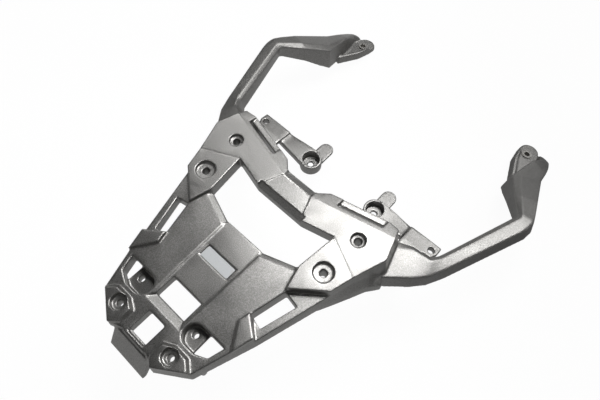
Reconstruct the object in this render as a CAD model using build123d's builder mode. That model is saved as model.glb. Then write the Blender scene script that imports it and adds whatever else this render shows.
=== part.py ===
from build123d import *
import math
import os

# Motorcycle luggage rack, one casting with two grab handles and two front mounting legs.
# Millimetres. X to the bike's right, Y to the front, Z up.
# The origin is midway between the two front load holes, on the plane of the raised pads.

# Heights of the top faces, from the raised pads at zero
deck_drop = 5
panel_drop = 1.2
rail_drop = 12
strap_bar_drop = 7
bevel_drop = 6

# Walls of the shell
deck_thickness = 6
skirt_wall = 5
skirt_flare = 4
skirt_middle_y = -100
rim_wall = 4
rim_depth = 18
margin = 20
root_overlap = 1

# Depth of the skirt at the rear edge, under the rear load pads and at the front
skirt_rear = 17
skirt_middle = 27
skirt_shoulder = 36
skirt_front = 44

# Bolt holes of the luggage plate: half spacing and distance behind the origin
front_hole_x = 95
main_hole_x = 91.5
main_hole_back = 52.5
rear_hole_x = 40
rear_hole_back = 217.5
load_bolt_radius = 4.3
rear_bolt_radius = 3.5
front_seat_radius = 8.4
front_seat_depth = 4
main_seat_radius = 11.5
main_seat_depth = 4
rear_seat_radius = 8.8
rear_seat_depth = 5.5
boss_wall = 4
load_boss_depth = 26
rear_boss_depth = 20

# Crossbar between the two front pads
crossbar_half = 21
crossbar_front = 5
crossbar_rear = -18
crossbar_bevel = 7
crossbar_lip_spread = 2
crossbar_rear_spread = 9
front_bevel = 9

# Front pads
pad_shoulder_x = 34
pad_shoulder_y = 25
pad_corner_back = 2
pad_front_x = 119.5
pad_front_y = 28.7
pad_side_x = 131.6
pad_side_y = 2.6
crease_side_x = 118.2
crease_side_y = -36.9
pad_rear_x = 111
pad_rear_y = -63.2
pad_inner_x = 74.7
pad_inner_y = -91.8
crease_width = 1.6
seam_width = 0.8
front_slope = 20
front_slope_rise = 5

# Big opening between crossbar and deck
opening_corner_x = 73
opening_corner_y = -15
opening_spread = 4
deck_front_x = 67.6
deck_front_y = -64.5
panel_front_half = 28
panel_front_y = -78.5
panel_rear_half = 25
panel_rear_y = -192
edge_bevel = 7
edge_bevel_drop = 3

# Strap slot and bar in front of each pad
strap_inner_x = 50
strap_outer_x = 104
strap_inner_y = 17
strap_slope = 0.25
strap_slot = 4.5
strap_bar_width = 8

# Rear outline
flank_x = 87
flank_y = -150
rear_side_x = 66
rear_side_y = -215.5
rear_corner_x = 33
rear_corner_y = -238
rear_notch_x = 18
rear_edge_y = -231.8

# Openings in the deck
square_half = 21.5
square_front_y = -161.3
square_rear_y = -185
ramp_length = 10
ramp_spread = 6
ramp_drop = 5
tail_slot_half = 12
tail_slot_front_y = -201.8
tail_slot_rear_y = -229
label_half = 21.4
label_front_y = -111.4
label_rear_y = -126.9
label_depth = 1.5
label_clearance = 0.8
label_thickness = 0.4
rail_slot_front_x = 76.4
rail_slot_front_y = -92.8
rail_slot_rear_x = 66.7
rail_slot_rear_y = -133.6
rail_slot_outer_x = 94
rail_slot_outer_y = -96
rail_slot_side_x = 82
rail_slot_side_y = -138
rail_margin = 5

# Pockets beside the tail slot
pocket_x = 40
pocket_y = -188
pocket_radius = 12
pocket_reach = 71.5
pocket_corner_x = 52.5
pocket_side_x = 66.5
pocket_side_step = 5.5
pocket_depth = 13
pocket_shelf_right = 49.5
pocket_hole_right = (37.5, -186)
pocket_shelf_left = 60
pocket_hole_left = (50, -185.5)
pocket_hole_radius = 3.4
pocket_boss_radius = 7
pocket_boss_depth = 30

# Rear load pads and the hooks behind the rail slots
rear_pad_inner_x = 22.5
rear_pad_inner_y = -213
rear_pad_rear_y = -229
rear_pad_shoulder_x = 36
rear_pad_front_x = 54
rear_pad_front_y = -206
pad_edge_angle = 30
hook_front_x = 65.4
hook_front_y = -134
hook_inner_x = 62.2
hook_inner_y = -147.8
hook_rear_x = 80
hook_rear_y = -174.5
hook_drop = 1

# Grab handles: profile of the grip
grip_top = 16
grip_chamfer = 6
grip_chamfer_drop = 5
grip_height = 24
grip_flare = 5
root_drop = 39
root_height = 20
swell_top = 14
bend_drop = 62
fin_drop = 140
tip_drop = 153

# Lug at the front end of each handle
lug_x = 163
lug_y = 356.5
lug_radius = 14
lug_thickness = 7
lug_slope = 12
lug_draft = 12
lug_rim_width = 7
lug_rim_height = 5
lug_hole_y = 345.5
lug_hole_radius = 4.3
lug_boss_radius = 9
lug_boss_height = 14
bush_radius = 6
bush_flange_radius = 7.5
bush_flange = 1.5

# Front mounting legs
leg_front_y = 110
leg_top_drop = 111
leg_thickness = 12
leg_web_y = 28
leg_web = 12
leg_floor = 8
leg_arm_step = 4
leg_bar = 22
leg_end = 13
leg_end_chamfer = 4
leg_overlap = 8
leg_inner_x = 112
leg_neck_x = 146
leg_outer_x = 161
leg_hole_x = 152
leg_hole_y = 98
leg_hole_radius = 4.5
boss_x = 59.5
boss_y = 96.5
boss_step = 6
boss_radius = 16
boss_height = 18
boss_seat_radius = 12
boss_seat_depth = 13
tongue_y = 130.5
tongue_radius = 11
tongue_thickness = 5

# Pegs under the deck
peg_x = 64
peg_y = -205
peg_radius = 4
peg_drop = 45

# Tail lug under the rear edge
tail_lug_half = 27
tail_lug_top = 9
tail_lug_tip = 34
tail_lug_reach = 20
tail_lug_thickness = 6


def mirrored(points):
    left = [(-x, y) for x, y in reversed(points)]
    return list(points) + left


def flared(points, amount):
    # the same outline further down, where the drafted walls stand further out
    return [(x + amount, y + math.copysign(amount, y - skirt_middle_y)) for x, y in points]


def half(points):
    # closed outline of the right half, along the centre plane
    return [(0, points[0][1])] + list(points) + [(0, points[-1][1])]


def section_plane(x, y, toward_x, toward_y):
    # upright plane through (x, y), its own X axis pointing to (toward_x, toward_y)
    span = math.hypot(toward_x - x, toward_y - y)
    ux = (toward_x - x) / span
    uy = (toward_y - y) / span
    return Plane(origin=(x, y, 0), x_dir=(ux, uy, 0), z_dir=(uy, -ux, 0))


def cut_slope(start, end, reach, drop, top, overrun=0):
    # slopes what lies right of the line from start to end, down from top
    length = math.dist(start, end)
    along_x = (end[0] - start[0]) / length
    along_y = (end[1] - start[1]) / length
    origin = (start[0] - along_x * overrun, start[1] - along_y * overrun, top)
    outward = (along_y, -along_x, 0)
    with BuildSketch(Plane(origin=origin, x_dir=outward, z_dir=(along_x, along_y, 0))) as wedge:
        Polygon((0, 0), (reach, drop), (reach, -drop), (0, -drop), align=None)
    extrude(wedge.sketch, amount=length + 2 * overrun, mode=Mode.SUBTRACT)


def cut_edge(start, end, run, drop):
    # slopes the edge of a raised pad inward of its foot, from start to end, down from zero
    length = math.dist(start, end)
    inward_x = -(end[1] - start[1]) / length * run
    inward_y = (end[0] - start[0]) / length * run
    cut_slope(
        (start[0] + inward_x, start[1] + inward_y),
        (end[0] + inward_x, end[1] + inward_y),
        run,
        drop,
        0,
        overrun=2 * run,
    )


# Outline of the shell, right half, from the front centre to the rear centre
strap_outer_y = strap_inner_y + (strap_outer_x - strap_inner_x) * strap_slope
strap_front_inner = strap_inner_y + strap_slot + strap_bar_width
strap_front_outer = strap_outer_y + strap_slot + strap_bar_width
crossbar_lip_y = crossbar_front + front_bevel
shell_side = [
    (crossbar_half + crossbar_lip_spread, crossbar_lip_y),
    (pad_shoulder_x, pad_shoulder_y),
    (strap_inner_x, strap_front_inner),
    (strap_outer_x, strap_front_outer),
    (pad_front_x, strap_front_outer - pad_corner_back),
    (pad_side_x, pad_side_y),
    (crease_side_x, crease_side_y),
    (pad_rear_x, pad_rear_y),
    (flank_x, flank_y),
    (rear_side_x, rear_side_y),
    (rear_corner_x, rear_corner_y),
    (rear_notch_x, rear_edge_y),
]

crossbar_rear_half = crossbar_half + crossbar_rear_spread
opening_rear_y = crossbar_rear - crossbar_bevel
opening_side = [
    (crossbar_rear_half + opening_spread, opening_rear_y),
    (opening_corner_x, opening_corner_y),
    (deck_front_x, deck_front_y),
    (panel_front_half, panel_front_y),
]

pad_side = [
    (crossbar_half + crossbar_lip_spread, crossbar_lip_y),
    (pad_shoulder_x, pad_shoulder_y),
    (strap_inner_x, strap_front_inner),
    (strap_outer_x, strap_front_outer),
    (pad_front_x, strap_front_outer - pad_corner_back),
    (pad_side_x, pad_side_y),
    (crease_side_x, crease_side_y),
    (pad_rear_x, pad_rear_y),
    (pad_inner_x, pad_inner_y),
    (deck_front_x, deck_front_y),
    (opening_corner_x, opening_corner_y),
    (crossbar_rear_half + opening_spread, opening_rear_y),
]

rail_slot = [
    (rail_slot_front_x, rail_slot_front_y),
    (rail_slot_outer_x, rail_slot_outer_y),
    (rail_slot_side_x, rail_slot_side_y),
    (rail_slot_rear_x, rail_slot_rear_y),
]

rail_field = [
    (pad_inner_x, pad_inner_y),
    (pad_rear_x, pad_rear_y),
    (pad_rear_x + rail_margin, pad_rear_y),
    (flank_x + rail_margin, flank_y),
    (flank_x, flank_y),
    (rail_slot_rear_x, rail_slot_rear_y),
    (rail_slot_front_x, rail_slot_front_y),
]

hook = [
    (hook_front_x, hook_front_y),
    (flank_x, flank_y),
    (hook_rear_x, hook_rear_y),
    (hook_inner_x, hook_inner_y),
]

pocket = [
    (pocket_x, pocket_y + pocket_radius),
    (pocket_reach, pocket_y + pocket_radius),
    (pocket_side_x, pocket_y - pocket_side_step),
    (pocket_corner_x, pocket_y - pocket_radius),
    (pocket_x, pocket_y - pocket_radius),
]

rear_pad = [
    (rear_side_x, rear_side_y),
    (rear_corner_x, rear_corner_y),
    (rear_pad_inner_x, rear_pad_rear_y),
    (rear_pad_inner_x, rear_pad_inner_y),
    (rear_pad_shoulder_x, rear_pad_front_y),
    (rear_pad_front_x, rear_pad_front_y),
]

strap_slot_hole = [
    (strap_inner_x, strap_inner_y),
    (strap_outer_x, strap_outer_y),
    (strap_outer_x, strap_outer_y + strap_slot),
    (strap_inner_x, strap_inner_y + strap_slot),
]

strap_bar = [
    (strap_inner_x, strap_inner_y),
    (strap_outer_x, strap_outer_y),
    (strap_outer_x, strap_front_outer + strap_slot),
    (strap_inner_x, strap_front_inner + strap_slot),
]

# Underside of the shell: the skirt gets shallower to the rear
under_front = strap_front_outer + margin
under_rear = rear_corner_y - margin
under_side = [
    (under_front, -skirt_front),
    (pad_side_y, -skirt_front),
    (pad_rear_y, -skirt_shoulder),
    (flank_y, -skirt_middle),
    (under_rear, -skirt_rear),
    (under_rear, -skirt_front - margin),
    (under_front, -skirt_front - margin),
]

pocket_floor = deck_drop + pocket_depth
rear_pad_run = deck_drop * math.tan(math.radians(pad_edge_angle))
bolts = [
    (front_hole_x, 0, load_bolt_radius, front_seat_radius, front_seat_depth, load_boss_depth),
    (main_hole_x, -main_hole_back, load_bolt_radius, main_seat_radius, main_seat_depth, load_boss_depth),
    (rear_hole_x, -rear_hole_back, rear_bolt_radius, rear_seat_radius, rear_seat_depth, rear_boss_depth),
]

# Handle sections: where the outer top edge is, where the section points to, then its profile
root_section = (
    (pad_side_x + 2, -3, pad_front_x - 4, 46),
    [
        (-5, -root_drop - root_height),
        (0, -root_drop),
        (40, -root_drop),
        (50, -root_drop - 3),
        (50, -root_drop - root_height),
    ],
)
shoulder_section = (
    (161, 23, 138, 56),
    [
        (-4.5, -root_drop - root_height - 5),
        (0, -root_drop - 5.5),
        (34, -root_drop - 3),
        (40, -root_drop - 7),
        (42, -root_drop - root_height - 4),
    ],
)
corner_section = (
    (174, 39.5, 158.5, 64),
    [
        (-4, -root_drop - root_height - 10),
        (0, -root_drop - 9),
        (19, -root_drop - 6),
        (24, -root_drop - 11),
        (31, -root_drop - root_height - 7),
    ],
)
elbow_section = (
    (183, 61, 166, 71),
    [
        (-4.5, -root_drop - root_height - 13),
        (0, -root_drop - 11),
        (13, -root_drop - 9),
        (18, -root_drop - 13),
        (22, -root_drop - root_height - 10),
    ],
)
bend_section = (
    (226, 178, 206, 186),
    [
        (-grip_flare, -bend_drop - grip_height),
        (0, -bend_drop),
        (grip_top, -bend_drop),
        (grip_top + grip_chamfer, -bend_drop - grip_chamfer_drop),
        (grip_top + grip_chamfer - 2, -bend_drop - grip_height),
    ],
)
turn_section = (
    (226.5, 192, 207, 191),
    [
        (-grip_flare - 1, -bend_drop - grip_height - 3),
        (0, -bend_drop - 1.5),
        (grip_top, -bend_drop - 1.5),
        (grip_top + grip_chamfer, -bend_drop - grip_chamfer_drop - 1.5),
        (grip_top + grip_chamfer - 2, -bend_drop - grip_height - 3),
    ],
)
middle_section = (
    (216.5, 230, 186.5, 221.5),
    [(-grip_flare, -107), (0, -80), (22, -77), (31, -81), (33, -107)],
)
fin_section = (
    (203, 293, 168, 261),
    [(-3.5, -fin_drop), (0, -117), (34, -104), (47, -103), (52, -fin_drop)],
)
nose_section = (
    (202.5, 320, 177, 316),
    [(-1, -fin_drop - 10), (0, -133), (19, -123), (26, -120), (30, -fin_drop - 8)],
)
shoulder_end_section = (
    (200.5, 344, 184.5, 343.5),
    [(-1, -fin_drop - 20), (0, -147), (12, -139.5), (16, -138), (22, -fin_drop - 18)],
)
tip_section = (
    (197, 357, 176, 358),
    [
        (-1, -tip_drop - 2 * lug_thickness),
        (0, -tip_drop),
        (11, -tip_drop + 2),
        (18, -tip_drop),
        (22, -tip_drop - 2 * lug_thickness),
    ],
)

# Swelling of the skirt that runs out into the handle root: outer lower edge, then profiles inward
swell_sections = [
    (
        (109, -80, 100, -78),
        [(0, -skirt_shoulder), (0.5, -28), (1.5, -swell_top), (7, -swell_top), (7, -skirt_shoulder)],
    ),
    (
        (116.5, -61, 105, -57),
        [(0, -skirt_front + 1), (1.2, -32), (4.5, -swell_top), (9, -swell_top), (9, -skirt_front + 1)],
    ),
    (
        (123.8, -43, 110, -39),
        [(0, -skirt_front - 4), (1.8, -36), (6.7, -swell_top), (11, -swell_top), (11, -skirt_front - 4)],
    ),
    (
        (131.3, -23.5, 115, -16),
        [(0, -root_drop - 14), (1.5, -root_drop - 1), (8, -18), (12.5, -18), (12.5, -root_drop - 14)],
    ),
    (
        (141.5, -7.5, 128, 6),
        [
            (0, -root_drop - root_height + 1),
            (0.8, -root_drop - 3),
            (12, -root_drop - 0.5),
            (16, -root_drop - 0.5),
            (16, -root_drop - root_height + 1),
        ],
    ),
]

lug_outline = [
    (lug_x - lug_radius, lug_y),
    (lug_x - lug_radius, lug_hole_y),
    (152, 320),
    (166, 282),
    (182, 288),
    (194, 340),
    (181, 355),
    (169, 367.5),
]
lug_rim = [
    (lug_x - lug_radius, lug_hole_y),
    (152, 320),
    (166, 282),
    (166 + lug_rim_width, 284),
    (152 + lug_rim_width, 322),
    (lug_x - lug_radius + lug_rim_width / 2, lug_hole_y),
]

# Front leg: side view of the web, then plans of its floor and of the bar across its front
leg_top = -leg_top_drop
boss_drop = leg_top_drop + boss_step
leg_web_side = [
    (leg_web_y, leg_overlap - root_drop - root_height),
    (leg_web_y + leg_web, leg_overlap - root_drop - root_height),
    (leg_web_y + leg_web, leg_top),
    (leg_front_y - leg_bar, leg_top),
    (leg_front_y - leg_bar, leg_top - leg_floor),
    (leg_web_y + leg_web, leg_top - leg_floor),
]
leg_foot = [
    (leg_inner_x, leg_front_y),
    (leg_outer_x, leg_front_y),
    (leg_outer_x, leg_front_y - leg_end),
    (leg_outer_x - leg_end_chamfer, leg_front_y - leg_bar),
    (leg_inner_x, leg_front_y - leg_bar),
]
leg_arm = [
    (boss_x, boss_y + boss_radius),
    (leg_inner_x + leg_overlap, leg_front_y),
    (leg_inner_x + leg_overlap, leg_front_y - leg_bar),
    (boss_x, boss_y - boss_radius),
]
tail_lug_side = [
    (rear_edge_y + tail_lug_thickness, -tail_lug_top),
    (rear_edge_y - skirt_flare, -tail_lug_top),
    (rear_edge_y - tail_lug_reach, -tail_lug_tip),
    (rear_edge_y - tail_lug_reach + tail_lug_thickness, -tail_lug_tip),
]

# The ramp behind the square hole
with BuildPart() as ramp_cut:
    with BuildSketch(Plane.XY.offset(-deck_drop)):
        Polygon(
            *mirrored([
                (square_half, square_rear_y),
                (square_half + ramp_spread, square_rear_y - ramp_length),
            ]),
            align=None,
        )
    extrude(amount=-ramp_drop)
    split(
        bisect_by=Plane(
            origin=(0, square_rear_y - ramp_length, -deck_drop),
            x_dir=(1, 0, 0),
            z_dir=(0, ramp_drop, ramp_length),
        ),
        keep=Keep.TOP,
    )

lug_plane = Plane(origin=(lug_x, lug_hole_y, -tip_drop)).rotated((-lug_slope, 0, 0))
grip_sections = [
    root_section,
    shoulder_section,
    corner_section,
    elbow_section,
    bend_section,
    turn_section,
    middle_section,
    fin_section,
    nose_section,
    shoulder_end_section,
    tip_section,
]

# Right half of the casting, mirrored at the end
with BuildPart() as rack_casting:
    # Solid outline with drafted walls and a sloping underside
    with BuildSketch(Plane.XY.offset(-deck_drop)):
        Polygon(*mirrored(shell_side), align=None)
    with BuildSketch(Plane.XY.offset(-skirt_front)):
        Polygon(*mirrored(flared(shell_side, skirt_flare)), align=None)
    loft(ruled=True)
    with BuildSketch(Plane.YZ):
        Polygon(*under_side, align=None)
    extrude(amount=pad_side_x + margin, both=True, mode=Mode.SUBTRACT)
    with BuildSketch(Plane.XY.offset(-rim_depth)):
        Rectangle(2 * strap_inner_x, 2 * (strap_front_inner + margin))
    extrude(amount=-skirt_front, mode=Mode.SUBTRACT)

    # Hollow underside
    with BuildSketch(Plane.XY.offset(-deck_drop - deck_thickness)):
        Polygon(*mirrored(shell_side), align=None)
        offset(amount=-skirt_wall, kind=Kind.INTERSECTION)
    with BuildSketch(Plane.XY.offset(-skirt_front)):
        Polygon(*mirrored(flared(shell_side, skirt_flare)), align=None)
        offset(amount=-skirt_wall, kind=Kind.INTERSECTION)
    loft(ruled=True, mode=Mode.SUBTRACT)

    # Floor of the rail beside the pads, joined to the deck by a wall
    with BuildSketch(Plane.XY.offset(-deck_drop)):
        Polygon(
            (pad_inner_x - rim_wall, pad_inner_y + rim_wall),
            (pad_rear_x, pad_rear_y + rim_wall),
            (flank_x, flank_y),
            (rail_slot_rear_x, rail_slot_rear_y),
            (rail_slot_front_x - rim_wall, rail_slot_front_y),
            align=None,
        )
    extrude(amount=deck_drop - rail_drop - deck_thickness)

    # Rims round the openings
    with BuildSketch(Plane.XY.offset(-deck_drop)):
        Polygon(*mirrored(opening_side), align=None)
        offset(amount=rim_wall, kind=Kind.INTERSECTION)
    extrude(amount=-(rim_depth - deck_drop))
    with BuildSketch(Plane.XY.offset(-deck_drop)):
        Polygon(*rail_slot, align=None)
        offset(amount=rim_wall, kind=Kind.INTERSECTION)
    extrude(amount=-(skirt_middle - deck_drop))
    with BuildSketch(Plane.XY.offset(-deck_drop)):
        Polygon(*pocket, align=None)
        with Locations((pocket_x, pocket_y)):
            Circle(pocket_radius)
        offset(amount=rim_wall, kind=Kind.INTERSECTION)
    extrude(amount=-(pocket_depth + rim_wall))
    with BuildSketch(Plane.XY.offset(-deck_drop)):
        with Locations((0, (square_front_y + square_rear_y) / 2)):
            Rectangle(2 * (square_half + rim_wall), square_front_y - square_rear_y + 2 * rim_wall)
        with Locations((0, (tail_slot_front_y + tail_slot_rear_y) / 2)):
            Rectangle(
                2 * (tail_slot_half + rim_wall),
                tail_slot_front_y - tail_slot_rear_y + 2 * rim_wall,
            )
    extrude(amount=-(rim_depth - deck_drop))

    # Bosses under the bolt holes
    for x, y, hole, seat, seat_depth, boss_depth in bolts:
        with BuildSketch(Plane.XY.offset(-deck_drop)):
            with Locations((x, y)):
                Circle(seat + boss_wall)
        extrude(amount=-(seat_depth + boss_wall))
        with BuildSketch(Plane.XY.offset(-deck_drop)):
            with Locations((x, y)):
                Circle(hole + boss_wall)
        extrude(amount=-(boss_depth - deck_drop))

    # Raised front pads with the crossbar, rear pads and hooks
    with BuildSketch(Plane.XY.offset(-deck_drop - root_overlap)):
        Polygon(*half(pad_side), align=None)
        Polygon(*rear_pad, align=None)
    extrude(amount=deck_drop + root_overlap)
    with BuildSketch(Plane.XY.offset(-deck_drop - root_overlap)):
        Polygon(*hook, align=None)
    extrude(amount=deck_drop + root_overlap - hook_drop)

    # Slopes on the edges
    cut_slope(
        (pad_front_x + margin, pad_front_y + front_slope_rise),
        (crossbar_half, crossbar_front),
        front_slope,
        bevel_drop,
        0,
    )
    cut_slope((crossbar_half, crossbar_front), (-crossbar_half, crossbar_front), front_bevel, bevel_drop, 0)
    cut_slope(
        (-crossbar_rear_half, crossbar_rear),
        (crossbar_rear_half, crossbar_rear),
        crossbar_bevel,
        bevel_drop,
        0,
        overrun=opening_spread,
    )
    rear_pad_edges = [
        (rear_pad_inner_x, rear_pad_rear_y),
        (rear_pad_inner_x, rear_pad_inner_y),
        (rear_pad_shoulder_x, rear_pad_front_y),
        (rear_pad_front_x, rear_pad_front_y),
        (rear_side_x, rear_side_y),
    ]
    for start, end in zip(rear_pad_edges[1:], rear_pad_edges):
        cut_edge(start, end, rear_pad_run, deck_drop)

    # Openings through the deck
    with BuildSketch():
        Polygon(*mirrored(opening_side), align=None)
        Polygon(*rail_slot, align=None)
        Polygon(*strap_slot_hole, align=None)
        with Locations((0, (square_front_y + square_rear_y) / 2)):
            Rectangle(2 * square_half, square_front_y - square_rear_y)
        with Locations((0, (tail_slot_front_y + tail_slot_rear_y) / 2)):
            Rectangle(2 * tail_slot_half, tail_slot_front_y - tail_slot_rear_y)
    extrude(amount=-2 * skirt_front, mode=Mode.SUBTRACT)
    with BuildSketch(Plane.XY.offset(-deck_drop)):
        Polygon(*rail_field, align=None)
    extrude(amount=-(rail_drop - deck_drop), mode=Mode.SUBTRACT)
    with BuildSketch():
        Polygon(*strap_bar, align=None)
    extrude(amount=-strap_bar_drop, mode=Mode.SUBTRACT)

    # Centre panel, label recess and ramp
    with BuildSketch(Plane.XY.offset(-deck_drop)):
        Polygon(
            *mirrored([(panel_front_half, panel_front_y), (panel_rear_half, panel_rear_y)]),
            align=None,
        )
    extrude(amount=-panel_drop, mode=Mode.SUBTRACT)
    with BuildSketch(Plane.XY.offset(-deck_drop - panel_drop)):
        with Locations((0, (label_front_y + label_rear_y) / 2)):
            Rectangle(2 * label_half, label_front_y - label_rear_y)
    extrude(amount=-label_depth, mode=Mode.SUBTRACT)
    add(ramp_cut.part, mode=Mode.SUBTRACT)
    cut_slope(
        (deck_front_x, deck_front_y - edge_bevel),
        (panel_front_half, panel_front_y - edge_bevel),
        edge_bevel,
        edge_bevel_drop,
        -deck_drop,
    )

    # Creases between the two parts of each pad, and where the crossbar meets the pad
    for start, end, width in (
        ((opening_corner_x, opening_corner_y), (crease_side_x, crease_side_y), crease_width),
        ((crossbar_half, crossbar_front), (crossbar_rear_half, crossbar_rear), seam_width),
    ):
        turn = math.degrees(math.atan2(end[1] - start[1], end[0] - start[0]))
        middle = ((start[0] + end[0]) / 2, (start[1] + end[1]) / 2)
        with BuildSketch():
            with Locations(Location((*middle, 0), (0, 0, turn))):
                Rectangle(math.dist(start, end) + 2 * width, width)
        extrude(amount=-width / 2, mode=Mode.SUBTRACT)

    # Bolt holes
    for x, y, hole, seat, seat_depth, boss_depth in bolts:
        with Locations((x, y, 0)):
            CounterBoreHole(hole, seat, seat_depth)

    # Swelling of the skirt towards the handle
    for place, profile in swell_sections:
        with BuildSketch(section_plane(*place)):
            Polygon(*profile, align=None)
    loft(ruled=True)

    # Grab handle: root beside the pad, straight grip, then the forward leg down to the lug
    for place, profile in grip_sections:
        with BuildSketch(section_plane(*place)):
            Polygon(*profile, align=None)
    loft(ruled=True)
    with BuildSketch(lug_plane):
        Polygon(*[(x - lug_x, y - lug_hole_y) for x, y in lug_outline], align=None)
        with Locations((0, lug_y - lug_hole_y)):
            Circle(lug_radius)
    extrude(amount=-lug_thickness, taper=-lug_draft)
    with BuildSketch(lug_plane):
        Polygon(*[(x - lug_x, y - lug_hole_y) for x, y in lug_rim], align=None)
    extrude(amount=lug_rim_height, taper=lug_draft)
    with BuildSketch(lug_plane):
        Circle(lug_boss_radius)
    extrude(amount=-lug_boss_height)
    with BuildSketch(lug_plane):
        Circle(bush_radius)
    extrude(amount=2 * lug_boss_height, both=True, mode=Mode.SUBTRACT)

    # Front leg: a web under the handle root, a floor and bar at its foot, the boss and the tongue
    with BuildSketch(Plane.YZ.offset(leg_inner_x)):
        Polygon(*leg_web_side, align=None)
    extrude(amount=leg_neck_x - leg_inner_x)
    with BuildSketch(Plane.XY.offset(leg_top)):
        Polygon(*leg_foot, align=None)
    extrude(amount=-leg_thickness)
    with BuildSketch(Plane.XY.offset(leg_top)):
        with Locations((leg_hole_x, leg_hole_y)):
            Circle(leg_hole_radius)
    extrude(amount=-leg_thickness, mode=Mode.SUBTRACT)
    with BuildSketch(Plane.XY.offset(leg_top - leg_arm_step)):
        Polygon(*leg_arm, align=None)
    extrude(amount=leg_arm_step - boss_step - boss_height / 2)
    with BuildSketch(Plane.XY.offset(-boss_drop)):
        with Locations((boss_x, boss_y)):
            Circle(boss_radius)
    extrude(amount=-boss_height)
    with BuildSketch(Plane.XY.offset(-boss_drop - boss_seat_depth)):
        with Locations((boss_x, (boss_y + tongue_y) / 2)):
            Rectangle(2 * tongue_radius, tongue_y - boss_y)
        with Locations((boss_x, tongue_y)):
            Circle(tongue_radius)
    extrude(amount=-tongue_thickness)
    with Locations((boss_x, boss_y, -boss_drop)):
        CounterBoreHole(load_bolt_radius, boss_seat_radius, boss_seat_depth)

    # Lug under the rear edge
    with BuildSketch(Plane.YZ):
        Polygon(*tail_lug_side, align=None)
    extrude(amount=tail_lug_half)

    # Locating peg under the deck
    with BuildSketch(Plane.XY.offset(-deck_drop - root_overlap)):
        with Locations((peg_x, peg_y)):
            Circle(peg_radius)
    extrude(amount=deck_drop + root_overlap - peg_drop)

    # Both halves, then what differs between them: the shelf and the hole of each pocket
    split(bisect_by=Plane.YZ)
    mirror(about=Plane.YZ)
    for side, shelf, hole in (
        (1, pocket_shelf_right, pocket_hole_right),
        (-1, pocket_shelf_left, pocket_hole_left),
    ):
        with BuildSketch(Plane.XY.offset(-deck_drop)):
            Polygon(*[(side * x, y) for x, y in pocket], align=None)
            with Locations((side * pocket_x, pocket_y)):
                Circle(pocket_radius)
        extrude(amount=-pocket_depth, mode=Mode.SUBTRACT)
        with BuildSketch(Plane.XY.offset(-deck_drop)):
            Polygon(*[(side * x, y) for x, y in pocket], align=None)
            with Locations((side * (shelf - pocket_reach), pocket_y)):
                Rectangle(2 * pocket_reach, 4 * pocket_radius, mode=Mode.SUBTRACT)
        extrude(amount=-2 * skirt_front, mode=Mode.SUBTRACT)
        with BuildSketch(Plane.XY.offset(-pocket_floor)):
            with Locations((side * hole[0], hole[1])):
                Circle(pocket_boss_radius)
        extrude(amount=pocket_floor - pocket_boss_depth)
        with BuildSketch(Plane.XY.offset(-pocket_floor)):
            with Locations((side * hole[0], hole[1])):
                Circle(pocket_hole_radius)
        extrude(amount=-pocket_boss_depth, mode=Mode.SUBTRACT)


rack_casting.part.label = "rack_casting"

# Plain sticker in the recess of the centre panel
with BuildPart() as blank_label:
    with BuildSketch(Plane.XY.offset(-deck_drop - panel_drop - label_depth)):
        with Locations((0, (label_front_y + label_rear_y) / 2)):
            RectangleRounded(
                2 * (label_half - label_clearance),
                label_front_y - label_rear_y - 2 * label_clearance,
                label_clearance,
            )
    extrude(amount=label_thickness)
blank_label.part.label = "blank_label"

# Steel bush through the lug of each handle, its flange on top
with BuildPart() as bush_right:
    with BuildSketch(lug_plane):
        Circle(bush_flange_radius)
    extrude(amount=bush_flange)
    with BuildSketch(lug_plane):
        Circle(bush_radius)
    extrude(amount=-lug_boss_height)
    with BuildSketch(lug_plane):
        Circle(lug_hole_radius)
    extrude(amount=2 * lug_boss_height, both=True, mode=Mode.SUBTRACT)
bush_right.part.label = "bush_right"

with BuildPart() as bush_left:
    add(bush_right.part)
    mirror(about=Plane.YZ, mode=Mode.REPLACE)
bush_left.part.label = "bush_left"

os.makedirs("parts", exist_ok=True)
export_step(rack_casting.part, "parts/rack_casting.step")
export_step(blank_label.part, "parts/blank_label.step")
export_step(bush_right.part, "parts/bush_right.step")
export_step(bush_left.part, "parts/bush_left.step")
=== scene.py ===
import math

import bmesh
import bpy
import numpy as np
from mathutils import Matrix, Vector


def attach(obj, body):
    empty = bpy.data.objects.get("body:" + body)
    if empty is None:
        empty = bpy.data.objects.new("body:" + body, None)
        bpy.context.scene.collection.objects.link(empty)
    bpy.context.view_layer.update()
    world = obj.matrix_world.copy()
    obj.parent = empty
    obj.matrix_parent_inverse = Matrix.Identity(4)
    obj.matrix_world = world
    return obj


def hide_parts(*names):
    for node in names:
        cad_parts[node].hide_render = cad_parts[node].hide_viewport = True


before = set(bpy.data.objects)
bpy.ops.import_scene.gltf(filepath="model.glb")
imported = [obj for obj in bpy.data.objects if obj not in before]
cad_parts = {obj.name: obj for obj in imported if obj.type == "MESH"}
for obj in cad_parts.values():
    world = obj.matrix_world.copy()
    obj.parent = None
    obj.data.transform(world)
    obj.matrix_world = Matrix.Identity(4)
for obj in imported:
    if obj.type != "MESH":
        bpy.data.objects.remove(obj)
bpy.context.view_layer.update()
print("frame loaded")

# Sockets of the Mix node when it mixes colours, where several sockets share each name
mixFirst = 6
mixSecond = 7
mixResult = 2


def linearColour(hexColour):
    # sRGB hex to linear red, green, blue and an alpha of one
    values = [int(hexColour[i:i + 2], 16) / 255 for i in (1, 3, 5)]
    return [v / 12.92 if v <= 0.04045 else ((v + 0.055) / 1.055) ** 2.4 for v in values] + [1]


def addNode(tree, kind, settings=None, inputs=None, links=None):
    node = tree.nodes.new(kind)
    for name, value in (settings or {}).items():
        setattr(node, name, value)
    for name, value in (inputs or {}).items():
        node.inputs[name].default_value = value
    for name, source in (links or {}).items():
        tree.links.new(source, node.inputs[name])
    return node


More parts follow.
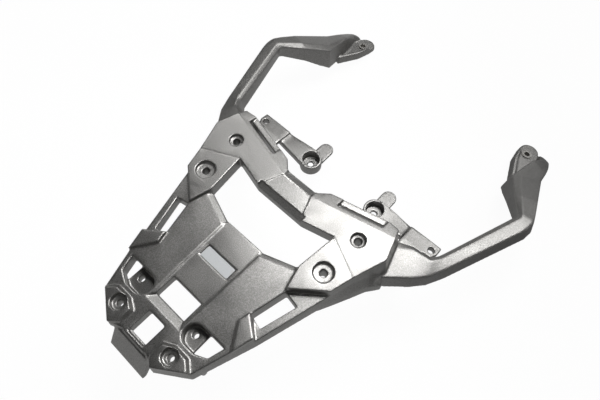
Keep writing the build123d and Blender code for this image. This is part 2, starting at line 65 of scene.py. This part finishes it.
def newMaterial(name):
    material = bpy.data.materials.new(name)
    material.use_nodes = True
    material.node_tree.nodes.clear()
    return material, material.node_tree


def dress(piece, material):
    piece.data.materials.clear()
    piece.data.materials.append(material)


def meshObject(name, mesh):
    piece = bpy.data.objects.new(name, mesh)
    bpy.context.scene.collection.objects.link(piece)
    return piece


def finalMesh(piece):
    # the piece's mesh with its modifiers applied
    bpy.context.view_layer.update()
    depsgraph = bpy.context.evaluated_depsgraph_get()
    mesh = bpy.data.meshes.new_from_object(piece.evaluated_get(depsgraph), depsgraph=depsgraph)
    piece.modifiers.clear()
    piece.data = mesh
    return mesh


def smoothStep(value, low, high):
    # 0 below low, 1 above high, an S curve between them
    t = np.clip((value - low) / (high - low), 0, 1)
    return t * t * (3 - 2 * t)


# The skin of the casting, in metres. The steps are steps of smoothing with cells of fineCell.
# Places and limits are those of the right side, and hold for both.
fineCell = 0.0008
allAxes = (0, 1, 2)
heightOnly = (2,)
rackSkin = {
    "voxel": fineCell,
    "weld": 1e-6,
    "triangles": 190000,
    "deckSteps": 5,
    "gripSteps": 11,
    "legSteps": 14,
    "boreSteps": 5,
    "gripFrom": 0.134,  # sideways, where the handles begin
    "gripTo": 0.144,
    "legTop": -0.062,  # downwards, where the legs begin
    "legBelow": -0.075,
    "legSide": 0.168,
    "legEnd": 0.16,
    # centre and reach of the bores whose edges stay sharper: lug, leg boss and leg end
    "bores": (((0.163, 0.3455, -0.153), 0.005), ((0.0595, 0.0965, -0.125), 0.020),
              ((0.152, 0.098, -0.117), 0.008)),
    "boreFade": 0.006,
    # centre and steps of the places that are rounder than the rest: the handle's tip, the inner
    # corner of its fin, its bend, and twice the step between the leg's arm and its foot
    "roundPlaces": (((0.198, 0.353, -0.153), 70, allAxes), ((0.164, 0.257, -0.140), 45, allAxes),
                    ((0.228, 0.185, -0.066), 60, allAxes), ((0.114, 0.091, -0.113), 45, heightOnly),
                    ((0.114, 0.107, -0.113), 45, heightOnly)),
    "roundReach": 0.006,
    "roundFade": 0.016,
    "footFall": 0.14,  # height over length
    "footTop": -0.100,
    "footRear": 0.088,
    "footFront": 0.115,
    "footInner": (0.070, 0.112),
    "seamFront": (0.0215, 0.005),  # the two ends of the line across the crossbar's end
    "seamRear": (0.030, -0.018),
    "seamWidth": 0.0008,
    "seamStep": 0.0007,
    "seamHeights": (-0.007, -0.006),
    "crossbarLimits": (-0.026, 0.016),
}


def evenCells(node, values):
    # a copy of the node's surface, welded and then filled with even small cells
    mesh = node.data.copy()
    cells = bmesh.new()
    cells.from_mesh(mesh)
    bmesh.ops.remove_doubles(cells, verts=cells.verts, dist=values["weld"])
    cells.to_mesh(mesh)
    cells.free()
    piece = meshObject("rackCastingSkin", mesh)
    remesh = piece.modifiers.new("cells", "REMESH")
    remesh.mode = "VOXEL"
    remesh.voxel_size = values["voxel"]
    return piece, finalMesh(piece)


def pointsAndEdges(mesh):
    points = np.empty(len(mesh.vertices) * 3, np.float32)
    mesh.vertices.foreach_get("co", points)
    edges = np.empty(len(mesh.edges) * 2, np.int32)
    mesh.edges.foreach_get("vertices", edges)
    return points.reshape(-1, 3).astype(float), edges.reshape(-1, 2)


def relax(points, edges, steps, axes=allAxes):
    # each point moves halfway to the mean of its neighbours, as many times as its steps say
    count = len(points)
    links = np.maximum(np.bincount(edges.ravel(), minlength=count), 1)
    for step in range(int(math.ceil(steps.max()))):
        share = 0.5 * np.clip(steps - step, 0, 1)
        for axis in axes:
            column = points[:, axis]
            total = np.bincount(edges[:, 0], weights=column[edges[:, 1]], minlength=count)
            total += np.bincount(edges[:, 1], weights=column[edges[:, 0]], minlength=count)
            points[:, axis] = column + share * (total / links - column)


def smoothingSteps(mirrored, values):
    # more steps on the handles and legs than on the deck, and fewer round the bores
    side, length, height = mirrored.T
    grip = smoothStep(side, values["gripFrom"], values["gripTo"])
    leg = smoothStep(-height, -values["legTop"], -values["legBelow"]) * (side < values["legSide"])
    leg = leg * (length < values["legEnd"])
    steps = values["deckSteps"] + grip * (values["gripSteps"] - values["deckSteps"])
    steps = steps * (1 - leg) + leg * values["legSteps"]
    for centre, reach in values["bores"]:
        apart = np.linalg.norm(mirrored - centre, axis=1)
        near = 1 - smoothStep(apart, reach, reach + values["boreFade"])
        steps = steps * (1 - near) + near * np.minimum(steps, values["boreSteps"])
    return steps


def roundPlaces(points, edges, mirrored, values, scale):
    # each place is relaxed by itself, with the edges that join its own points
    reach, fade = values["roundReach"], values["roundFade"]
    for centre, rounding, axes in values["roundPlaces"]:
        apart = np.linalg.norm(mirrored - centre, axis=1)
        chosen = np.flatnonzero(apart < reach + fade)
        order = np.full(len(points), -1)
        order[chosen] = np.arange(len(chosen))
        nearEdges = order[edges]
        nearEdges = nearEdges[(nearEdges >= 0).all(axis=1)]
        corner = points[chosen]
        near = 1 - smoothStep(apart[chosen], reach, reach + fade)
        relax(corner, nearEdges, near * rounding * scale, axes)
        points[chosen] = corner


def dropFeet(points, side, values):
    # each leg's foot falls a little towards the front
    onFoot = (side < values["legSide"]) & (points[:, 2] < values["footTop"])
    onFoot = onFoot & (points[:, 1] < values["footFront"])
    fall = smoothStep(side, *values["footInner"]) * np.maximum(points[:, 1] - values["footRear"], 0)
    points[:, 2] -= values["footFall"] * fall * onFoot


def dropCrossbar(points, values):
    # the crossbar's top lies a little below the pads, up to a line across each of its ends
    (frontX, frontY), (rearX, rearY) = values["seamFront"], values["seamRear"]
    length = math.hypot(rearX - frontX, rearY - frontY)
    beyond = ((rearY - frontY) * (np.abs(points[:, 0]) - frontX)
              - (rearX - frontX) * (points[:, 1] - frontY)) / length
    inside = smoothStep(beyond, -values["seamWidth"] / 2, values["seamWidth"] / 2)
    inside = inside * smoothStep(points[:, 2], *values["seamHeights"])
    rearLimit, frontLimit = values["crossbarLimits"]
    inside = inside * (points[:, 1] > rearLimit) * (points[:, 1] < frontLimit)
    points[:, 2] -= values["seamStep"] * inside


def castSkin(node, values):
    # A casting has no sharp edge. Each point of an even skin moves towards the mean of its
    # neighbours, more often where the radius is larger.
    piece, mesh = evenCells(node, values)
    points, edges = pointsAndEdges(mesh)
    mirrored = np.stack([np.abs(points[:, 0]), points[:, 1], points[:, 2]], 1)
    scale = (fineCell / values["voxel"]) ** 2  # larger cells take fewer steps to the same radius
    relax(points, edges, smoothingSteps(mirrored, values) * scale)
    roundPlaces(points, edges, mirrored, values, scale)
    dropFeet(points, mirrored[:, 0], values)
    dropCrossbar(points, values)
    mesh.vertices.foreach_set("co", points.astype(np.float32).ravel())
    mesh.update()

    triangles = len(mesh.loops) - 2 * len(mesh.polygons)
    if triangles > values["triangles"]:
        thin = piece.modifiers.new("thin", "DECIMATE")
        thin.ratio = values["triangles"] / triangles
        mesh = finalMesh(piece)
    mesh.polygons.foreach_set("use_smooth", np.ones(len(mesh.polygons), bool))
    mesh.update()
    print("casting skin:", len(points), "points,", len(mesh.polygons), "faces")
    return piece


# Silver-grey powder coat on cast aluminium: satin, with a fine metallic grain and orange peel.
# Each of the three noises has its size in metres, its detail and its roughness.
powderCoat = {
    "colour": "#888785",
    "paleGrain": "#a2a19f",
    "darkGrain": "#6f6e6c",
    "paleEdge": "#bdbcb9",
    "edgeRange": (0.52, 0.66),
    "edgeShare": 0.35,
    "metallic": 0.9,
    "roughness": 0.35,
    "smoother": 0.05,
    "rougher": 0.07,
    "grain": (0.0009, 2.0, 0.6),
    "cloud": (0.045, 3.0, 0.5),
    "peel": (0.0022, 1.0, 0.4),
    "noiseRange": (0.3, 0.7),  # what the noises nearly always stay within
    "grainShare": 0.45,
    "bump": 0.22,
    "bumpHeight": 0.00008,
}


def powderCoatMaterial(name, values):
    material, tree = newMaterial(name)
    place = addNode(tree, "ShaderNodeTexCoord").outputs["Object"]
    noises = {}
    for layer in ("grain", "cloud", "peel"):
        size, detail, roughness = values[layer]
        noise = addNode(tree, "ShaderNodeTexNoise", {"noise_dimensions": "3D"},
                        {"Scale": 1 / size, "Detail": detail, "Roughness": roughness},
                        {"Vector": place})
        noises[layer] = noise.outputs["Fac"]
    low, high = values["noiseRange"]
    # flakes of the metallic coat, drawn as coarse as they need to show
    flakes = addNode(tree, "ShaderNodeValToRGB", links={"Fac": noises["grain"]})
    darkEnd, paleEnd = flakes.color_ramp.elements
    darkEnd.position = low
    darkEnd.color = linearColour(values["darkGrain"])
    paleEnd.position = high
    paleEnd.color = linearColour(values["paleGrain"])
    middle = flakes.color_ramp.elements.new((low + high) / 2)
    middle.color = linearColour(values["colour"])
    # edges, where hands and straps have worn the coat thin, are a little paler
    geometry = addNode(tree, "ShaderNodeNewGeometry")
    edge = addNode(tree, "ShaderNodeMapRange", {"interpolation_type": "SMOOTHSTEP"},
                   {"From Min": values["edgeRange"][0], "From Max": values["edgeRange"][1],
                    "To Min": 0.0, "To Max": values["edgeShare"]},
                   {"Value": geometry.outputs["Pointiness"]})
    colour = addNode(tree, "ShaderNodeMix", {"data_type": "RGBA"},
                     {mixSecond: linearColour(values["paleEdge"])},
                     {"Factor": edge.outputs["Result"], mixFirst: flakes.outputs["Color"]})
    rough = addNode(tree, "ShaderNodeMapRange",
                    inputs={"From Min": low, "From Max": high,
                            "To Min": values["roughness"] - values["smoother"],
                            "To Max": values["roughness"] + values["rougher"]},
                    links={"Value": noises["cloud"]})
    heights = addNode(tree, "ShaderNodeMath", {"operation": "MULTIPLY_ADD"},
                      {1: values["grainShare"]}, {0: noises["grain"], 2: noises["peel"]})
    bump = addNode(tree, "ShaderNodeBump",
                   inputs={"Strength": values["bump"], "Distance": values["bumpHeight"]},
                   links={"Height": heights.outputs["Value"]})
    shader = addNode(tree, "ShaderNodeBsdfPrincipled", inputs={"Metallic": values["metallic"]},
                     links={"Base Color": colour.outputs[mixResult],
                            "Roughness": rough.outputs["Result"],
                            "Normal": bump.outputs["Normal"]})
    addNode(tree, "ShaderNodeOutputMaterial", links={"Surface": shader.outputs["BSDF"]})
    return material


def finishTwoTone(tree, values, pattern):
    # colour, roughness and height all follow one pattern, a socket that runs from 0 to 1
    colour = addNode(tree, "ShaderNodeMix", {"data_type": "RGBA"},
                     {mixFirst: linearColour(values["colour"]),
                      mixSecond: linearColour(values["shade"])},
                     {"Factor": pattern})
    rough = addNode(tree, "ShaderNodeMapRange",
                    inputs={"To Min": values["roughness"] - values["smoother"],
                            "To Max": values["roughness"] + values["rougher"]},
                    links={"Value": pattern})
    bump = addNode(tree, "ShaderNodeBump",
                   inputs={"Strength": values["bump"], "Distance": values["bumpHeight"]},
                   links={"Height": pattern})
    shader = addNode(tree, "ShaderNodeBsdfPrincipled", inputs={"Metallic": values["metallic"]},
                     links={"Base Color": colour.outputs[mixResult],
                            "Roughness": rough.outputs["Result"],
                            "Normal": bump.outputs["Normal"]})
    addNode(tree, "ShaderNodeOutputMaterial", links={"Surface": shader.outputs["BSDF"]})


# Plain pale polyester film with a matt face. Its specks are drawn as coarse as they need to show.
labelFilm = {
    "colour": "#c8cbcc",
    "shade": "#b7babc",
    "speck": 0.0011,
    "metallic": 0.0,
    "roughness": 0.42,
    "smoother": 0.05,
    "rougher": 0.08,
    "bump": 0.2,
    "bumpHeight": 0.00005,
}


def filmMaterial(name, values):
    material, tree = newMaterial(name)
    place = addNode(tree, "ShaderNodeTexCoord").outputs["Object"]
    speck = addNode(tree, "ShaderNodeTexNoise", inputs={"Scale": 1 / values["speck"], "Detail": 2.0},
                    links={"Vector": place})
    finishTwoTone(tree, values, speck.outputs["Fac"])
    return material


# Turned steel, bright, with rings round the bore from the lathe, coarser than the real ones so
# that they show
turnedSteel = {
    "colour": "#c4c2be",
    "shade": "#a5a39f",
    "bore": (0.163, 0.3455),
    "ring": 0.0006,
    "metallic": 1.0,
    "roughness": 0.26,
    "smoother": 0.06,
    "rougher": 0.1,
    "bump": 0.3,
    "bumpHeight": 0.00004,
}


def steelMaterial(name, values):
    material, tree = newMaterial(name)
    place = addNode(tree, "ShaderNodeTexCoord").outputs["Object"]
    apart = addNode(tree, "ShaderNodeSeparateXYZ", links={"Vector": place})
    side = addNode(tree, "ShaderNodeMath", {"operation": "ABSOLUTE"}, links={0: apart.outputs["X"]})
    across = addNode(tree, "ShaderNodeMath", {"operation": "SUBTRACT"}, {1: values["bore"][0]},
                     {0: side.outputs["Value"]})
    along = addNode(tree, "ShaderNodeMath", {"operation": "SUBTRACT"}, {1: values["bore"][1]},
                    {0: apart.outputs["Y"]})
    flat = addNode(tree, "ShaderNodeCombineXYZ",
                   links={"X": across.outputs["Value"], "Y": along.outputs["Value"]})
    radius = addNode(tree, "ShaderNodeVectorMath", {"operation": "LENGTH"},
                     links={0: flat.outputs["Vector"]})
    ring = addNode(tree, "ShaderNodeTexNoise", {"noise_dimensions": "1D"},
                   {"Scale": 1 / values["ring"], "Detail": 2.0}, {"W": radius.outputs["Value"]})
    finishTwoTone(tree, values, ring.outputs["Fac"])
    return material


skin = castSkin(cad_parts["rack_casting"], rackSkin)
dress(skin, powderCoatMaterial("silver_powder_coat", powderCoat))
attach(skin, "root")
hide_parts("rack_casting")

steel = steelMaterial("turned_steel", turnedSteel)
dress(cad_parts["blank_label"], filmMaterial("matt_polyester_film", labelFilm))
dress(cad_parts["bush_right"], steel)
dress(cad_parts["bush_left"], steel)
print("materials done")

# The studio: white paper, and a glowing card and a glowing dome that only the rack mirrors. Their glow is
# painted light and painted shade in its reflections.
studio = {
    "floorLevel": -0.1688,
    "floorSize": 8,
    "paper": "#f2f2f2",
    "paperGlow": 1.0,
    "glowShare": 0.95,
    # the card's glow is painted light in the coat's reflections, falling to painted shade towards the
    # right front
    "cardSize": (2.4, 2.6),
    "cardCentre": (0, 0.06),
    "cardLift": 0.0004,
    "cardSlant": 0.8,
    "cardRange": (0.05, 0.5),
    "cardPaintedLight": 0.48,
    "cardPaintedShade": 0.15,
    "domeRadius": 3.4,
    "domeRise": 0.48,
    "domeRings": 14,
    "domeSides": 48,
    "windowWay": (0.55, 0.83),
    # each fade of the dome's painted glow: its two ends, as shares of the dome's radius, and the level at
    # each
    "wallFade": (-0.2, 0.95, 0.02, 0.25),
    "lowFade": (0.3, 0.65, 0.4, 0.0),
    "behindFade": (-0.6, 0.1, 1.0, 0.0),
    "ambient": 0.3,
    "lampTarget": (0, 0.02, -0.02),
    "key": {"place": (0.0, 0.40, 1.1), "size": (0.62, 0.30), "power": 9.1},
    "strip": {"place": (-0.84, 0.58, 1.1), "size": (0.55, 0.30), "power": 2.2},
    "window": {"place": (0.1, 2.0, 1.55), "size": (2.4, 0.7), "power": 20},
    "side": {"place": (0.50, 0.74, 1.1), "size": (0.36, 0.30), "power": 3.4},
    "cameraPlace": (0.1916, -0.1957, 0.4974),
    "cameraTarget": (0.0159, -0.0072, 0),
    "lens": 30,
    "sensor": 36,
    "clipStart": 0.01,
}


def rectangle(name, width, length, level, centre=(0, 0)):
    # a level rectangle round its centre
    x, y = width / 2, length / 2
    mesh = bpy.data.meshes.new(name)
    corners = [(centre[0] + a, centre[1] + b, level) for a, b in ((-x, -y), (x, -y), (x, y), (-x, y))]
    mesh.from_pydata(corners, [], [(0, 1, 2, 3)])
    return meshObject(name, mesh)


def dome(name, values):
    # nearly half a sphere: each ring is as wide as the cosine of its rise and as high as the
    # sine, and one point closes the pole
    radius = values["domeRadius"]
    rises = np.linspace(0, values["domeRise"] * np.pi, values["domeRings"])
    turns = np.linspace(0, 2 * np.pi, values["domeSides"] + 1)[:-1]
    rise, turn = np.meshgrid(rises, turns, indexing="ij")
    sphere = [np.cos(rise) * np.cos(turn), np.cos(rise) * np.sin(turn), np.sin(rise)]
    points = np.stack(sphere, -1).reshape(-1, 3) * radius
    pole = rise.size
    index = np.arange(pole).reshape(rise.shape)
    following = np.roll(index, -1, axis=1)
    faces = np.stack([index[:-1], index[1:], following[1:], following[:-1]], -1).reshape(-1, 4).tolist()
    faces += [[int(a), pole, int(b)] for a, b in zip(index[-1], following[-1])]
    mesh = bpy.data.meshes.new(name)
    mesh.from_pydata(np.vstack([points, [[0, 0, radius]]]).tolist(), [], faces)
    return meshObject(name, mesh)


def seenRays(tree):
    # 1 for what the camera sees, directly, in gloss or through glass
    path = addNode(tree, "ShaderNodeLightPath")
    some = addNode(tree, "ShaderNodeMath", {"operation": "MAXIMUM"},
                   links={0: path.outputs["Is Camera Ray"], 1: path.outputs["Is Glossy Ray"]})
    seen = addNode(tree, "ShaderNodeMath", {"operation": "MAXIMUM"},
                   links={0: some.outputs["Value"], 1: path.outputs["Is Transmission Ray"]})
    return seen.outputs["Value"]


def floorMaterial(values):
    # white where it is seen, with a share of plain paper that holds the rack's shadow
    material, tree = newMaterial("white_paper")
    paper = addNode(tree, "ShaderNodeBsdfDiffuse", inputs={"Color": linearColour(values["paper"])})
    glow = addNode(tree, "ShaderNodeEmission", inputs={"Strength": values["paperGlow"]})
    share = addNode(tree, "ShaderNodeMath", {"operation": "MULTIPLY"}, {1: values["glowShare"]},
                    {0: seenRays(tree)})
    mix = addNode(tree, "ShaderNodeMixShader",
                  links={0: share.outputs["Value"], 1: paper.outputs["BSDF"],
                         2: glow.outputs["Emission"]})
    addNode(tree, "ShaderNodeOutputMaterial", links={"Surface": mix.outputs["Shader"]})
    return material


def cardMaterial(values):
    # a glowing card that stands for the floor as the coat mirrors it: painted reflection, darker towards
    # the right front as painted shade
    material, tree = newMaterial("painted_reflection_card")
    place = addNode(tree, "ShaderNodeTexCoord").outputs["Object"]
    apart = addNode(tree, "ShaderNodeSeparateXYZ", links={"Vector": place})
    toward = addNode(tree, "ShaderNodeMath", {"operation": "MULTIPLY_ADD"}, {1: values["cardSlant"]},
                     {0: apart.outputs["Y"], 2: apart.outputs["X"]})
    level = addNode(tree, "ShaderNodeMapRange", {"interpolation_type": "SMOOTHSTEP"},
                    {"From Min": values["cardRange"][0], "From Max": values["cardRange"][1],
                     "To Min": values["cardPaintedLight"], "To Max": values["cardPaintedShade"]},
                    {"Value": toward.outputs["Value"]})
    glow = addNode(tree, "ShaderNodeEmission", links={"Strength": level.outputs["Result"]})
    addNode(tree, "ShaderNodeOutputMaterial", links={"Surface": glow.outputs["Emission"]})
    return material


def wallMaterial(values):
    # a glowing dome all round, brighter towards the window side and low down behind the camera: painted
    # light that the coat mirrors, where no lamp is
    material, tree = newMaterial("painted_light_dome")
    place = addNode(tree, "ShaderNodeTexCoord").outputs["Object"]
    apart = addNode(tree, "ShaderNodeSeparateXYZ", links={"Vector": place})
    side = addNode(tree, "ShaderNodeMath", {"operation": "MULTIPLY"}, {1: values["windowWay"][0]},
                   {0: apart.outputs["X"]})
    toward = addNode(tree, "ShaderNodeMath", {"operation": "MULTIPLY_ADD"}, {1: values["windowWay"][1]},
                     {0: apart.outputs["Y"], 2: side.outputs["Value"]})
    levels = []
    for fade, source in (("lowFade", apart.outputs["Z"]), ("behindFade", toward.outputs["Value"]),
                         ("wallFade", toward.outputs["Value"])):
        start, end, startLevel, endLevel = values[fade]
        level = addNode(tree, "ShaderNodeMapRange", {"interpolation_type": "SMOOTHSTEP"},
                        {"From Min": start * values["domeRadius"], "From Max": end * values["domeRadius"],
                         "To Min": startLevel, "To Max": endLevel},
                        {"Value": source})
        levels.append(level.outputs["Result"])
    # the low glow counts only behind the camera, and the wall's own level is added to it
    total = addNode(tree, "ShaderNodeMath", {"operation": "MULTIPLY_ADD"}, links=dict(enumerate(levels)))
    glow = addNode(tree, "ShaderNodeEmission", links={"Strength": total.outputs["Value"]})
    addNode(tree, "ShaderNodeOutputMaterial", links={"Surface": glow.outputs["Emission"]})
    return material


def hideFromCamera(piece):
    piece.visible_camera = False
    piece.visible_shadow = False
    piece.visible_transmission = False


def aim(holder, place, target):
    bpy.context.scene.collection.objects.link(holder)
    holder.location = place
    holder.rotation_euler = (Vector(target) - Vector(place)).to_track_quat("-Z", "Y").to_euler()


floor = rectangle("paperFloor", studio["floorSize"], studio["floorSize"], studio["floorLevel"])
dress(floor, floorMaterial(studio))
# painted reflection: a glowing card, hidden from the camera, that the coat mirrors in place of the floor
card = rectangle("paintedReflectionCard", *studio["cardSize"], studio["floorLevel"] + studio["cardLift"],
                 studio["cardCentre"])
dress(card, cardMaterial(studio))
hideFromCamera(card)
# painted light: a glowing dome, hidden from the camera, that the rack mirrors and that lights it softly
walls = dome("paintedLightDome", studio)
dress(walls, wallMaterial(studio))
hideFromCamera(walls)

# the air is white where it is seen, and gives less light than that
world = bpy.data.worlds.new("studioAir")
bpy.context.scene.world = world
world.use_nodes = True
air = world.node_tree
air.nodes.clear()
strength = addNode(air, "ShaderNodeMapRange", inputs={"To Min": studio["ambient"], "To Max": 1.0},
                   links={"Value": seenRays(air)})
sky = addNode(air, "ShaderNodeBackground", links={"Strength": strength.outputs["Result"]})
addNode(air, "ShaderNodeOutputWorld", links={"Surface": sky.outputs["Background"]})

for lampName in ("key", "strip", "window", "side"):
    lampValues = studio[lampName]
    lamp = bpy.data.lights.new(lampName + "Softbox", "AREA")
    lamp.shape = "RECTANGLE"
    lamp.size, lamp.size_y = lampValues["size"]
    lamp.energy = lampValues["power"]
    aim(bpy.data.objects.new(lampName + "Softbox", lamp), lampValues["place"], studio["lampTarget"])

view = bpy.data.cameras.new("photoView")
view.lens = studio["lens"]
view.sensor_width = studio["sensor"]
view.clip_start = studio["clipStart"]
camera = bpy.data.objects.new("photoView", view)
aim(camera, studio["cameraPlace"], studio["cameraTarget"])
bpy.context.scene.camera = camera
bpy.context.scene.view_settings.view_transform = "Standard"
print("studio done")
